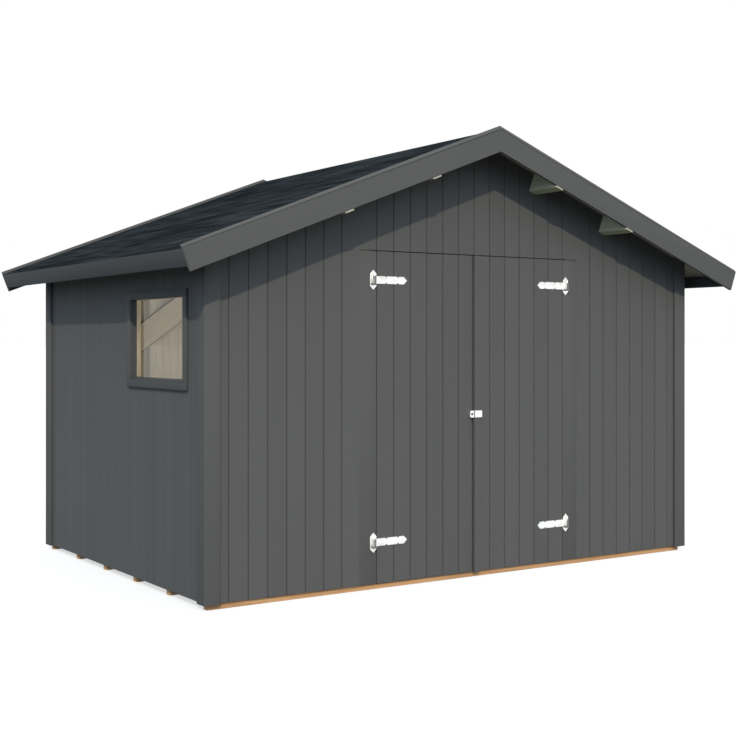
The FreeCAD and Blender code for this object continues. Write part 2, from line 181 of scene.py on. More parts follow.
def prism_faces(first, count):
    """Both ends and the sides of a prism, whose corners are numbered from first, end after end."""
    faces = [[first + i for i in reversed(range(count))], [first + count + i for i in range(count)]]
    for i in range(count):
        j = (i + 1) % count
        faces.append([first + i, first + j, first + count + j, first + count + i])
    return faces


def prisms(name, outlines, z_low, z_high):
    """One mesh of upright prisms, each from a plan outline of (x, y) corners."""
    points = []
    faces = []
    for outline in outlines:
        faces += prism_faces(len(points), len(outline))
        points += [(x, y, z_low) for x, y in outline]
        points += [(x, y, z_high) for x, y in outline]
    return mesh_object(name, points, faces)


def bars_along_y(name, outlines, low, high):
    """One mesh of bars along Y, each from an outline of (x, z) corners."""
    points = []
    faces = []
    for outline in outlines:
        faces += prism_faces(len(points), len(outline))
        points += [(x, low, z) for x, z in outline]
        points += [(x, high, z) for x, z in outline]
    thing = mesh_object(name, points, faces)
    mesh = bmesh.new()
    mesh.from_mesh(thing.data)
    bmesh.ops.recalc_face_normals(mesh, faces=mesh.faces[:])
    mesh.to_mesh(thing.data)
    mesh.free()
    return thing


def copy_of(node, name):
    """A copy of a CAD node's mesh that stands for the node."""
    source = frame["nodes"][node]
    thing = new_object(name, source.data.copy())
    thing.data.materials.clear()
    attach(thing, source["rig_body"])
    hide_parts(node)
    return thing


def apply_modifiers(thing):
    """Replace the mesh with the one that its modifiers make."""
    depsgraph = bpy.context.evaluated_depsgraph_get()
    mesh = bpy.data.meshes.new_from_object(thing.evaluated_get(depsgraph))
    old = thing.data
    thing.modifiers.clear()
    thing.data = mesh
    bpy.data.meshes.remove(old)
    return thing


def weld(thing):
    """Join the corners that lie at one point."""
    modifier = thing.modifiers.new("weld", "WELD")
    modifier.merge_threshold = SAME_POINT
    return apply_modifiers(thing)


def cut_with(thing, cutter):
    """Cut a closed mesh away; the cut faces take the cutter's material, if it has one."""
    cut = thing.modifiers.new("cut", "BOOLEAN")
    cut.operation = "DIFFERENCE"
    cut.solver = "EXACT"
    cut.material_mode = "TRANSFER"
    cut.object = cutter
    apply_modifiers(thing)
    bpy.data.objects.remove(cutter)


def soften_edges(thing, width=EDGE_ROUND, sharp_x=None):
    """Round the sharp edges lightly, all but those in the plane x = sharp_x."""
    mesh = bmesh.new()
    mesh.from_mesh(thing.data)
    chosen = []
    for edge in mesh.edges:
        in_plane = sharp_x is not None and all(abs(v.co.x - sharp_x) < SAME_POINT for v in edge.verts)
        sharp = edge.is_manifold and edge.calc_face_angle(0) > math.radians(SHARP_DEGREES)
        if sharp and not in_plane:
            chosen.append(edge)
    bmesh.ops.bevel(mesh, geom=chosen, offset=width, segments=EDGE_SEGMENTS, profile=0.5,
                    affect="EDGES", clamp_overlap=True)
    mesh.to_mesh(thing.data)
    mesh.free()


def finish_piece(thing, material, degrees=SMOOTH_DEGREES):
    """Give the piece its material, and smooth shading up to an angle."""
    if not thing.data.materials:
        thing.data.materials.append(material)
    smooth_by_angle(thing, degrees)
    return thing


def softened(node, name, material, width=EDGE_ROUND):
    """The node with its sharp edges lightly rounded."""
    thing = weld(copy_of(node, name))
    soften_edges(thing, width)
    return finish_piece(thing, material)


def cut_at_x(thing, x):
    """Divide the faces that cross a plane, so that each side can have its own material."""
    mesh = bmesh.new()
    mesh.from_mesh(thing.data)
    everything = mesh.verts[:] + mesh.edges[:] + mesh.faces[:]
    bmesh.ops.bisect_plane(mesh, geom=everything, plane_co=(x, 0.0, 0.0), plane_no=(1.0, 0.0, 0.0))
    mesh.to_mesh(thing.data)
    mesh.free()


def second_material(thing, material, chosen):
    """Give the faces that a test chooses another material."""
    thing.data.materials.append(material)
    for face in thing.data.polygons:
        if chosen(face):
            face.material_index = len(thing.data.materials) - 1


def smooth_by_angle(thing, degrees):
    thing.data.shade_smooth()
    thing.data.set_sharp_from_angle(angle=math.radians(degrees))


# Materials

class Nodes:
    """Short ways to build a material's node tree."""

    def __init__(self, name, roughness, specular=0.3, metallic=0.0):
        self.material = bpy.data.materials.new(name)
        self.material.use_nodes = True
        self.tree = self.material.node_tree
        self.shader = self.tree.nodes["Principled BSDF"]
        self.shader.inputs["Roughness"].default_value = roughness
        self.shader.inputs["Specular IOR Level"].default_value = specular
        self.shader.inputs["Metallic"].default_value = metallic
        coordinates = self.tree.nodes.new("ShaderNodeTexCoord")
        self.place = coordinates.outputs["Object"]

    def link(self, source, target):
        self.tree.links.new(source, target)

    def mapped(self, vector, scale=(1, 1, 1), turn=0.0):
        mapping = self.tree.nodes.new("ShaderNodeMapping")
        mapping.inputs["Scale"].default_value = scale
        mapping.inputs["Rotation"].default_value = (0.0, turn, 0.0)
        self.link(vector, mapping.inputs["Vector"])
        return mapping.outputs["Vector"]

    def scaled(self, scale):
        return self.mapped(self.place, scale)

    def turned_scaled(self, scale, turn):
        """Scaled coordinates of a board that lies at a slope: first turned level, then scaled."""
        return self.mapped(self.mapped(self.place, turn=turn), scale)

    def noise(self, vector, scale, detail=4.0, roughness=0.55, distortion=0.0):
        node = self.tree.nodes.new("ShaderNodeTexNoise")
        node.inputs["Scale"].default_value = scale
        node.inputs["Detail"].default_value = detail
        node.inputs["Roughness"].default_value = roughness
        node.inputs["Distortion"].default_value = distortion
        self.link(vector, node.inputs["Vector"])
        return node.outputs["Fac"]

    def math(self, operation, first, second=0.5, third=0.5):
        node = self.tree.nodes.new("ShaderNodeMath")
        node.operation = operation
        for socket, value in zip(node.inputs, (first, second, third)):
            if isinstance(value, (int, float)):
                socket.default_value = value
            else:
                self.link(value, socket)
        return node.outputs[0]

    def axis(self, index):
        node = self.tree.nodes.new("ShaderNodeSeparateXYZ")
        self.link(self.place, node.inputs[0])
        return node.outputs[index]

    def random_of(self, value):
        node = self.tree.nodes.new("ShaderNodeTexWhiteNoise")
        node.noise_dimensions = "1D"
        self.link(value, node.inputs["W"])
        return node.outputs["Value"]

    def ramp(self, value, stops):
        node = self.tree.nodes.new("ShaderNodeValToRGB")
        ramp = node.color_ramp
        while len(ramp.elements) < len(stops):
            ramp.elements.new(0.5)
        for element, (place, colour) in zip(ramp.elements, stops):
            element.position = place
            element.color = (*colour, 1.0)
        self.link(value, node.inputs["Fac"])
        return node.outputs["Color"]

    def colour(self, source):
        self.link(source, self.shader.inputs["Base Color"])

    def roughness(self, source):
        self.link(source, self.shader.inputs["Roughness"])

    def bump(self, height, strength, distance):
        node = self.tree.nodes.new("ShaderNodeBump")
        node.inputs["Strength"].default_value = strength
        node.inputs["Distance"].default_value = distance
        self.link(height, node.inputs["Height"])
        self.link(node.outputs["Normal"], self.shader.inputs["Normal"])


def srgb(red, green, blue):
    """Linear colour of an 8-bit picture colour."""
    def linear(value):
        share = value / 255.0
        return share / 12.92 if share <= 0.04045 else ((share + 0.055) / 1.055) ** 2.4
    return tuple(linear(value) for value in (red, green, blue))


def shades(colour, *factors):
    return [tuple(channel * factor for channel in colour) for factor in factors]


def painted(name, colour, board_axis=None, board_shift=0.0, grain_axis=2):
    """Matt paint on planed boards: faint tint from board to board, brush marks and grain."""
    nodes = Nodes(name, roughness=0.75, specular=0.05)
    stretch = [MARKS_ACROSS, MARKS_ACROSS, MARKS_ACROSS]
    stretch[grain_axis] = MARKS_ALONG
    marks = nodes.noise(nodes.scaled(stretch), 2.0, detail=6.0)
    mottle = nodes.noise(nodes.scaled((1.0, 1.0, 0.35)), 3.0, detail=2.0)
    value = nodes.math("MULTIPLY_ADD", marks, 0.30, 0.0)
    value = nodes.math("MULTIPLY_ADD", mottle, 0.35, value)
    if board_axis is not None:
        place = nodes.math("SUBTRACT", nodes.axis(board_axis), board_shift)
        index = nodes.math("FLOOR", nodes.math("DIVIDE", place, BOARD_PITCH))
        tint = nodes.random_of(index)
        value = nodes.math("MULTIPLY_ADD", tint, 0.35, value)
    low, high = shades(colour, 0.93, 1.07)
    nodes.colour(nodes.ramp(value, [(0.15, low), (0.85, high)]))
    nodes.roughness(nodes.math("MULTIPLY_ADD", mottle, 0.16, 0.68))
    nodes.bump(marks, 0.18, 0.0006)
    return nodes.material


def timber(name, colour, grain_axis, contrast=1.0, turn=0.0):
    """Planed softwood with its grain along one axis, or at a turn about Y from it."""
    nodes = Nodes(name, roughness=0.75, specular=0.1)
    stretch = [RING_SCALE, RING_SCALE, RING_SCALE]
    stretch[grain_axis] = RING_SCALE * RINGS_ALONG
    place = nodes.turned_scaled(stretch, turn)
    warp = nodes.noise(place, 1.2, detail=3.0, distortion=0.6)
    rings = nodes.math("PINGPONG", nodes.math("MULTIPLY", warp, RING_COUNT), 1.0)
    fibre_stretch = [FIBRES_ACROSS, FIBRES_ACROSS, FIBRES_ACROSS]
    fibre_stretch[grain_axis] = FIBRES_ALONG
    fibres = nodes.noise(nodes.turned_scaled(fibre_stretch, turn), 1.0, detail=4.0)
    value = nodes.math("MULTIPLY_ADD", fibres, 0.35, nodes.math("MULTIPLY", rings, 0.5))
    light, middle, dark = shades(colour, 1 + 0.12 * contrast, 1.0, 1 - 0.30 * contrast)
    dark = (dark[0], dark[1] * 0.93, dark[2] * 0.85)
    nodes.colour(nodes.ramp(value, [(0.1, light), (0.45, middle), (0.9, dark)]))
    nodes.bump(fibres, 0.25, 0.0005)
    return nodes.material


def felt():
    """Mineral roofing felt: dark, with grains that lie in streaks along the ridge."""
    nodes = Nodes("roof_felt_mineral", roughness=0.97, specular=0.0)
    grains = nodes.noise(nodes.scaled((240.0, 240.0, 240.0)), 1.0, detail=3.0, roughness=0.7)
    streaks = nodes.noise(nodes.scaled((26.0, 2.2, 26.0)), 1.0, detail=5.0, roughness=0.62)
    clouds = nodes.noise(nodes.scaled((3.0, 0.8, 3.0)), 1.0, detail=3.0)
    value = nodes.math("MULTIPLY_ADD", grains, 0.25, nodes.math("MULTIPLY", streaks, 0.55))
    value = nodes.math("MULTIPLY_ADD", clouds, 0.20, value)
    nodes.colour(nodes.ramp(value, [(0.40, FELT_LOW), (0.50, FELT_MIDDLE), (0.60, FELT_HIGH)]))
    nodes.bump(grains, 0.6, 0.0015)
    return nodes.material


def zinc():
    """Bright zinc plating with faint spangle."""
    nodes = Nodes("zinc_plate", roughness=0.34, metallic=1.0)
    spangle = nodes.noise(nodes.scaled((60.0, 60.0, 60.0)), 1.0, detail=2.0)
    fine = nodes.noise(nodes.scaled((400.0, 400.0, 90.0)), 1.0, detail=2.0)
    nodes.colour(nodes.ramp(spangle, [(0.3, srgb(238, 239, 236)), (0.7, srgb(253, 253, 250))]))
    nodes.roughness(nodes.math("MULTIPLY_ADD", fine, 0.18, 0.26))
    nodes.bump(fine, 0.08, 0.0003)
    return nodes.material


def shaded_zinc():
    """Grey zinc without a mirror, for the faces at the hinge eyes and collars: painted shade."""
    nodes = Nodes("zinc_painted_shade", roughness=0.6, specular=0.2)
    speckle = nodes.noise(nodes.scaled((120.0, 120.0, 120.0)), 1.0)
    nodes.colour(nodes.ramp(speckle, [(0.3, srgb(112, 113, 111)), (0.7, srgb(138, 139, 137))]))
    return nodes.material


def pocket_shade_material():
    """Near-black metal of the bolt inside the keeper: painted shade for the keeper's pocket."""
    nodes = Nodes("iron_painted_shade", roughness=0.6, specular=0.1)
    speckle = nodes.noise(nodes.scaled((300.0, 300.0, 300.0)), 1.0)
    nodes.colour(nodes.ramp(speckle, [(0.3, srgb(18, 18, 17)), (0.7, srgb(30, 29, 28))]))
    return nodes.material


def glass():
    """Thin clear pane: seen through, with a weak reflection and a faint film."""
    nodes = Nodes("clear_pane", roughness=0.0, specular=0.12)
    nodes.shader.inputs["Transmission Weight"].default_value = 1.0
    nodes.shader.inputs["IOR"].default_value = PANE_IOR
    film = nodes.noise(nodes.scaled((6.0, 6.0, 6.0)), 1.0)
    nodes.colour(nodes.ramp(film, [(0.3, (0.93, 0.95, 0.94)), (0.7, (0.97, 0.98, 0.97))]))
    return nodes.material


# Colours, and the materials made of them

PAINT = srgb(94, 94, 93)
TRIM_PAINT = srgb(95, 95, 94)
# Darker copy of the trim paint, on the fascias and round the window: painted shade.
SHADED_TRIM_PAINT = srgb(84, 86, 86)
# Darker paint in the boards' joints and in the bargeboards' bead line: painted shade that deepens the
# lines.
GROOVE_SHADE_PAINT = srgb(86, 86, 85)
# Near-black paint on the door posts and head behind the gaps: painted shade.
GAP_SHADE_PAINT = srgb(48, 48, 47)
PINE = srgb(218, 206, 184)
# Dark brown on the rear braces' broad arrises: painted shade along their edges.
BRACE_EDGE_SHADE = srgb(92, 80, 66)
TREATED = srgb(214, 166, 120)
PRIMED = srgb(190, 190, 168)
# Lighter and darker copies of the primed colour, on the purlins' sides and undersides: painted light
# and painted shade.
PRIMED_SIDE_PAINTED_LIGHT = srgb(226, 226, 198)
PRIMED_UNDER_PAINTED_SHADE = srgb(176, 178, 145)
FELT_LOW = srgb(22, 25, 27)
FELT_MIDDLE = srgb(36, 40, 42)
FELT_HIGH = srgb(56, 61, 64)
RING_SCALE = 9.0
RING_COUNT = 14.0
RINGS_ALONG = 0.06
FIBRES_ACROSS = 220.0
FIBRES_ALONG = 5.0
MARKS_ACROSS = 45.0
MARKS_ALONG = 1.6
PANE_IOR = 1.2

paint_front = painted("paint_front_boards", PAINT, board_axis=0)
paint_side = painted("paint_side_boards", PAINT, board_axis=1,
                     board_shift=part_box("front_wall_left")[0].y + SIDE_GROOVE_FIRST)
paint_groove_shade = painted("paint_groove_painted_shade", GROOVE_SHADE_PAINT)
paint_gap_shade = painted("painted_shade_behind_gaps", GAP_SHADE_PAINT)
paint_fascia_shaded = painted("paint_fascia_shaded", SHADED_TRIM_PAINT, grain_axis=1)
paint_window_shaded = painted("paint_window_shaded", SHADED_TRIM_PAINT)
paint_upright = painted("paint_upright", TRIM_PAINT)
paint_level = painted("paint_level", TRIM_PAINT, grain_axis=0)
pine = [timber(f"pine_{letter}", PINE, axis, contrast=0.6) for axis, letter in enumerate("xyz")]
braces_pine = timber("pine_slanting", PINE, 0, contrast=0.3, turn=BRACE_SLOPE)
brace_edge_shade = timber("pine_brace_edge_painted_shade", BRACE_EDGE_SHADE, 0, contrast=0.3, turn=BRACE_SLOPE)
primed_y = timber("primed_pine_y", PRIMED, 1, contrast=0.4)
primed_side_lit = timber("primed_pine_side_painted_light", PRIMED_SIDE_PAINTED_LIGHT, 1, contrast=0.3)
primed_under_shaded = timber("primed_pine_under_painted_shade", PRIMED_UNDER_PAINTED_SHADE, 1, contrast=0.3)
treated = timber("treated_pine_x", TREATED, 0)
roof_felt = felt()
zinc_plate = zinc()
# Grey zinc on the hinge eyes and collars: painted shade.
zinc_painted_shade = shaded_zinc()
# Near black for the bolt end in the keeper: painted shade in the pocket.
pocket_shade = pocket_shade_material()
pane = glass()


# Boarded walls and leaves

def groove_section(place, face, inward, along_x):
    """Plan of the joint between two boards: eased edges that meet in a narrow gap."""
    mouth = GROOVE_MOUTH if along_x else SIDE_GROOVE_MOUTH
    ease = GROOVE_EASE if along_x else SIDE_GROOVE_EASE
    section = [(-mouth, -OVER_FACE), (mouth, -OVER_FACE), (mouth, 0.0), (GROOVE_HALF, ease),
               (GROOVE_HALF, GROOVE_DEPTH), (-GROOVE_HALF, GROOVE_DEPTH), (-GROOVE_HALF, ease),
               (-mouth, 0.0)]
    return turned(section, place, face, inward, along_x)


def slit_section(place, face, inward, along_x):
    """Plan of the fine line between two boards on their bare side."""
    section = [(-SLIT_HALF, -OVER_FACE), (SLIT_HALF, -OVER_FACE), (SLIT_HALF, SLIT_DEPTH),
               (-SLIT_HALF, SLIT_DEPTH)]
    return turned(section, place, face, inward, along_x)


def turned(section, place, face, inward, along_x):
    """Corners in plan of a section of (side, depth) steps, in counterclockwise order."""
    corners = []
    for side, depth in section:
        if along_x:
            corners.append((place + side, face + inward * depth))
        else:
            corners.append((face + inward * depth, place + side))
    area = sum(a[0] * b[1] - b[0] * a[1] for a, b in zip(corners, corners[1:] + corners[:1]))
    return corners if area > 0 else corners[::-1]


def groove_places(low, high, first):
    """Places of the joints between boards, kept off the two ends."""
    index = math.ceil((low + GROOVE_MOUTH - first) / BOARD_PITCH)
    places = []
    while first + index * BOARD_PITCH < high - GROOVE_MOUTH:
        places.append(first + index * BOARD_PITCH)
        index += 1
    return places


def boarded(node, name, material, along_x, outside, first, start=None):
    """The node with the joints between its boards cut into both faces.

    Where a start is given, the joints begin there and lie in the face of the leaves' boards.
    """
    low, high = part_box(node)
    span = (low.x, high.x) if along_x else (low.y, high.y)
    faces = (low.y, high.y) if along_x else (low.x, high.x)
    if outside < 0:
        outer, inner, inward = faces[0], faces[1], 1
    else:
        outer, inner, inward = faces[1], faces[0], -1
    if start is not None:
        span = (start, span[1])
        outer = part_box("left_door_boards")[0].y
    outlines = []
    for place in groove_places(*span, first):
        outlines.append(groove_section(place, outer, inward, along_x))
        outlines.append(slit_section(place, inner, -inward, along_x))
    wall = weld(copy_of(node, name))
    wall.data.materials.append(material)
    cutter = prisms(name + "_cutter", outlines, low.z - OVERSHOOT, high.z + OVERSHOOT)
    # The joints' cut faces take the darker groove paint: painted shade.
    cutter.data.materials.append(paint_groove_shade)
    cut_with(wall, cutter)
    axis = 1 if along_x else 0

    def inside(face):
        """The inner side and the slits in it."""
        depth = abs(face.center[axis] - inner)
        looks_in = face.normal[axis] * inward > LOOKS_ALONG
        upright = abs(face.normal.z) < LOOKS_HALFWAY
        slit_side = abs(face.normal[axis]) < LOOKS_ACROSS and depth > NEAR and upright
        return depth < SLIT_DEPTH + SLIT_MARGIN and (looks_in or slit_side)

    second_material(wall, pine[2], inside)


side_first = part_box("front_wall_left")[0].y + SIDE_GROOVE_FIRST
boarded("front_wall_left", "front_boards_left", paint_front, True, -1, 0.0)
boarded("front_wall_right", "front_boards_right", paint_front, True, -1, 0.0)
boarded("front_gable", "gable_boards", paint_front, True, -1, 0.0)
boarded("left_door_boards", "left_leaf_boards", paint_front, True, -1, 0.0)
boarded("right_door_boards", "right_leaf_boards", paint_front, True, -1, 0.0,
        start=COVER_STRIP_EDGE)
boarded("rear_wall", "rear_boards", paint_front, True, 1, 0.0)
boarded("left_wall", "left_boards", paint_side, False, -1, side_first)
boarded("right_wall", "right_boards", paint_side, False, 1, side_first)


# Painted boards round the walls, roof and window

# The fascias and the window's head, apron and sill take the darker trim paint: painted shade.
for node, material in (
        ("front_corner_boards", paint_upright),
        ("rear_corner_boards", paint_upright),
        ("window_side_trims", paint_upright),
        ("window_head_and_apron", paint_fascia_shaded),
        ("window_sill", paint_fascia_shaded),
        ("eave_fascias", paint_fascia_shaded)):
    softened(node, node + "_painted", material)
softened("door_jamb_boards", "door_jamb_boards_painted", paint_upright)


def window_lining(node, material):
    """Lining board: painted outside the pane and bare inside it."""
    thing = softened(node, node + "_painted", material)
    pane_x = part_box("window_glass")[1].x
    cut_at_x(thing, pane_x)
    second_material(thing, pine[2], lambda face: face.center.x > pane_x)


# The jambs and lining ends take the darker trim paint outside the pane: painted shade.
window_lining("window_jambs", paint_window_shaded)
window_lining("window_lining_ends", paint_fascia_shaded)


def bargeboard(node, side, outside):
    """Bargeboard with a line cut under its bead, along the slope; side is -1 or 1 in X."""
    low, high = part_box(node)
    outer = low.y if outside < 0 else high.y
    reach = max(abs(low.x), abs(high.x)) + OVERSHOOT
    face_y = (outer + outside * OVERSHOOT, outer - outside * BEAD_LINE_DEPTH)
    half = BEAD_LINE_HALF / math.cos(SLOPE)
    ridge = high.z - BEAD_LINE_DROP
    fall = reach * math.tan(SLOPE)
    outline = [(-side * OVERSHOOT, ridge - half), (side * reach, ridge - fall - half),
               (side * reach, ridge - fall + half), (-side * OVERSHOOT, ridge + half)]
    board = weld(copy_of(node, node + "_painted"))
    board.data.materials.append(paint_level)
    soften_edges(board, sharp_x=0.0)
    cutter = bars_along_y(node + "_cutter", [outline], min(face_y), max(face_y))
    # The bead line's cut faces take the darker groove paint: painted shade.
    cutter.data.materials.append(paint_groove_shade)
    cut_with(board, cutter)
    finish_piece(board, paint_level)


for end, outside in (("front", -1), ("rear", 1)):
    bargeboard(end + "_left_bargeboard", -1, outside)
    bargeboard(end + "_right_bargeboard", 1, outside)


# Timber

softened("floor_joists", "floor_joists_planed", treated)
for node, material in (
        ("wall_studs", pine[2]),
        ("side_wall_plates", pine[1]),
        ("end_wall_plates", pine[0]),
        ("gable_rafters", pine[0]),
        ("ridge_purlin", primed_y),
        ("left_door_ledges", pine[0]),
        ("right_door_ledges", pine[0]),
        ("left_door_braces", pine[2]),
        ("right_door_braces", pine[2])):
    softened(node, node + "_planed", material)


def painted_front(node, material):
    """Door post or head: bare timber whose front face, behind the gaps, is painted near black: painted
    shade that makes the gaps read dark.
    """
    thing = softened(node, node + "_planed", material)
    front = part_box(node)[0].y
    # The front faces take the near-black paint: painted shade.
    second_material(thing, paint_gap_shade, lambda face: face.center.y < front + GAP_SHADE_DEPTH)


painted_front("door_posts", pine[2])
painted_front("door_head", pine[0])


def braces_with_shaded_edges():
    """Braces of the rear wall, with broad arrises painted dark: painted shade along the braces' edges.
    """
    thing = softened("rear_wall_braces", "rear_wall_braces_planed", braces_pine,
                     BRACE_ARRIS)
    # The arrises take the dark brown: painted shade.
    second_material(thing, brace_edge_shade, lambda face: abs(face.normal.y) < FLAT_BRACE_FACE)


braces_with_shaded_edges()


def purlins_with_lips():
    """Purlins let into the bargeboards, so that a lip of each end shows below them. Their sides are
    painted lighter and their undersides darker: painted light and painted shade.
    """
    thing = weld(copy_of("purlins", "purlins_planed"))
    low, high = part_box("purlins")
    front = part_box("front_left_bargeboard")[0].y
    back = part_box("rear_left_bargeboard")[1].y
    for vertex in thing.data.vertices:
        if vertex.co.y < low.y + NEAR:
            vertex.co.y = front + LIP_SETBACK
        elif vertex.co.y > high.y - NEAR:
            vertex.co.y = back - LIP_SETBACK
    thing.data.materials.append(primed_y)
    drop = BARGE_DEPTH / math.cos(SLOPE) + LIP_GAP
    for end, y0, y1 in (("front", front - OVERSHOOT, low.y), ("rear", high.y, back + OVERSHOOT)):
        board_low, board_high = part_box(end + "_left_bargeboard")
        ridge = board_high.z
        reach = board_high.x - board_low.x
        for side in (-1, 1):
            outline = [(0.0, ridge - drop), (side * reach, ridge - drop - reach * math.tan(SLOPE)),
                       (side * reach, ridge + OVERSHOOT), (0.0, ridge + OVERSHOOT)]
            cut_with(thing, bars_along_y("lip_cutter", [outline], y0, y1))
    soften_edges(thing, LIP_ROUND)
    finish_piece(thing, primed_y)
    # Sides painted lighter and undersides darker: painted light and painted shade.
    second_material(thing, primed_side_lit, lambda face: abs(face.normal.x) > LOOKS_HALFWAY)
    second_material(thing, primed_under_shaded, lambda face: face.normal.z < -LOOKS_HALFWAY)


purlins_with_lips()


def roof_deck(node, side):
    """Deck of boards along the ridge, with slits between them on the underside."""
    low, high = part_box(node)
    vertices = frame["nodes"][node].data.vertices
    underside = min(vertex.co.z for vertex in vertices if abs(vertex.co.x) < NEAR)
    outlines = []
    run = BOARD_PITCH * math.cos(SLOPE)
    place = run
    while place < max(abs(low.x), abs(high.x)) - run / 2:
        level = underside - place * math.tan(SLOPE)
        rise = SLIT_HALF * math.tan(SLOPE)
        outlines.append([(side * (place - SLIT_HALF), level - SLIT_DEPTH + rise),
                         (side * (place + SLIT_HALF), level - SLIT_DEPTH - rise),
                         (side * (place + SLIT_HALF), level + SLIT_DEPTH - rise),
                         (side * (place - SLIT_HALF), level + SLIT_DEPTH + rise)])
        place += run
    thing = weld(copy_of(node, node + "_planed"))
    thing.data.materials.append(primed_y)
    cutter = bars_along_y(node + "_cutter", outlines, low.y - OVERSHOOT, high.y + OVERSHOOT)
    cut_with(thing, cutter)
    finish_piece(thing, primed_y)


roof_deck("left_roof_deck", -1)
roof_deck("right_roof_deck", 1)


def floor_of_boards():
    """Floor boards along the depth, with slits between them on top."""
    low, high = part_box("floor_boards")
    outlines = []
    bottom, top = high.z - SLIT_DEPTH, high.z + SLIT_DEPTH
    for place in groove_places(low.x, high.x, 0.0):
        left, right = place - SLIT_HALF, place + SLIT_HALF
        outlines.append([(left, bottom), (right, bottom), (right, top), (left, top)])
    thing = weld(copy_of("floor_boards", "floor_boards_planed"))
    thing.data.materials.append(pine[1])
    cutter = bars_along_y("floor_cutter", outlines, low.y - OVERSHOOT, high.y + OVERSHOOT)
    cut_with(thing, cutter)
    finish_piece(thing, pine[1])


floor_of_boards()


# Felt, ironwork and glass

for node in ("left_roof_felt", "right_roof_felt"):
    softened(node, node + "_mineral", roof_felt, FELT_ROUND)

for node in ("lock_case", "lock_keeper"):
    softened(node, node + "_zinc", zinc_plate, PLATE_ROUND)


def ironwork_of_hinge(node, shaded_faces):
    """Ironwork whose faces at the hinge pin get grey zinc: painted shade."""
    thing = softened(node, node + "_zinc", zinc_plate, PLATE_ROUND)
    second_material(thing, zinc_painted_shade, shaded_faces)


before_plate_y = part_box("hinge_plates")[1].y - PLATE_THICKNESS - EDGE_ROUND


def on_collar(face):
    """Faces of the round collars under the straps' eyes, but not of the plates behind them."""
    beside_axis = abs(abs(face.center.x) - HINGE_X) < COLLAR_RADIUS + PLATE_THICKNESS
    before_plate = face.center.y < before_plate_y
    drops = [level - STRAP_HEIGHT / 2 - face.center.z for level in HINGE_LEVELS]
    return beside_axis and before_plate and any(0.0 < drop < COLLAR_REACH for drop in drops)


def on_eye(face):
    """Faces of the straps' eyes, before the pin's axis."""
    return abs(abs(face.center.x) - HINGE_X) < EYE_SHADE_HALF and face.center.y < EYE_FRONT


ironwork_of_hinge("hinge_plates", on_collar)
ironwork_of_hinge("left_door_straps", on_eye)
ironwork_of_hinge("right_door_straps", on_eye)

frame["nodes"]["window_glass"].data.materials.clear()
frame["nodes"]["window_glass"].data.materials.append(pane)


def round_heads(name, places, face_y, profile, body):
    """Heads of bolts or screws on faces that look to the front, each spun from one profile."""
    mesh = bmesh.new()
    for x, z in places:
        rings = []
        for radius, height in profile:
            ring = []
            for step in range(HEAD_SIDES):
                angle = 2 * math.pi * step / HEAD_SIDES
                ring.append(mesh.verts.new((x + radius * math.cos(angle), face_y - height,
                                            z + radius * math.sin(angle))))
            rings.append(ring)
        for lower, upper in zip(rings, rings[1:]):
            for step in range(HEAD_SIDES):
                after = (step + 1) % HEAD_SIDES
                mesh.faces.new((lower[step], lower[after], upper[after], upper[step]))
        mesh.faces.new(rings[-1])
        mesh.faces.new(list(reversed(rings[0])))
    bmesh.ops.recalc_face_normals(mesh, faces=mesh.faces[:])
    data = bpy.data.meshes.new(name)
    mesh.to_mesh(data)
    mesh.free()
    thing = new_object(name, data)
    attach(thing, body)
    finish_piece(thing, zinc_plate, HEAD_SMOOTH_DEGREES)


def dome_profile(radius, height):
    """Steps of (radius, height) up a dome that stands on a low upright edge."""
    profile = [(radius, 0.0), (radius, height * DOME_FOOT)]
    for step in range(1, DOME_STEPS):
        angle = math.pi / 2 * step / DOME_STEPS
        rise = DOME_FOOT + (1 - DOME_FOOT) * math.sin(angle)
        profile.append((radius * math.cos(angle), height * rise))
    return profile


screw_profile = [(SCREW_RADIUS * radius, SCREW_HEIGHT * height) for radius, height in SCREW_PROFILE]
front_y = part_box("front_wall_left")[0].y
for side, door in ((-1, "left_door"), (1, "right_door")):
    bolts = [(side * (HINGE_X - BOLT_FROM_AXIS), level) for level in HINGE_LEVELS]
    screws = [(side * (HINGE_X - place), level) for level in HINGE_LEVELS for place in SCREWS_FROM_AXIS]
    face_y = front_y - STRAP_THICKNESS
    round_heads(door + "_strap_bolts", bolts, face_y, dome_profile(BOLT_RADIUS, BOLT_HEIGHT), door)
    round_heads(door + "_strap_screws", screws, face_y, screw_profile, door)
plate_screws = []
for side in (-1, 1):
    for level in HINGE_LEVELS:
        for rise in (-PLATE_SCREW_RISE, PLATE_SCREW_RISE):
            plate_screws.append((side * HINGE_X, level + rise))
round_heads("hinge_plate_screws", plate_screws, front_y - PLATE_THICKNESS, screw_profile, "shed")


def bolt_end_in_keeper():
    """Dark pointed end of the bolt, sunk in the keeper's pocket; its near black is painted shade in the
    pocket.
    """
    low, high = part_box("lock_keeper")
    middle_x = (low.x + high.x) / 2
    middle_z = (low.z + high.z) / 2
    left = middle_x - POCKET_WIDTH / 2 + POCKET_SLACK
    right = middle_x + POCKET_WIDTH / 2 - POCKET_SLACK
    half = POCKET_HEIGHT / 2 - POCKET_SLACK
    outline = [(left, middle_z), (left + half / 2, middle_z - half), (right, middle_z - half),
               (right, middle_z + half), (left + half / 2, middle_z + half)]
    front = low.y + POCKET_DEPTH * POCKET_SUNK
    thing = bars_along_y("keeper_bolt_end", [outline], front, low.y + POCKET_DEPTH)
    soften_edges(thing, BOLT_END_ROUND)
    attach(thing, "left_door")
    # Near black: painted shade in the keeper's pocket.
    finish_piece(thing, pocket_shade)


bolt_end_in_keeper()


# Stage, light and camera

SEEN_RAYS = ("Is Camera Ray", "Is Glossy Ray", "Is Transmission Ray")


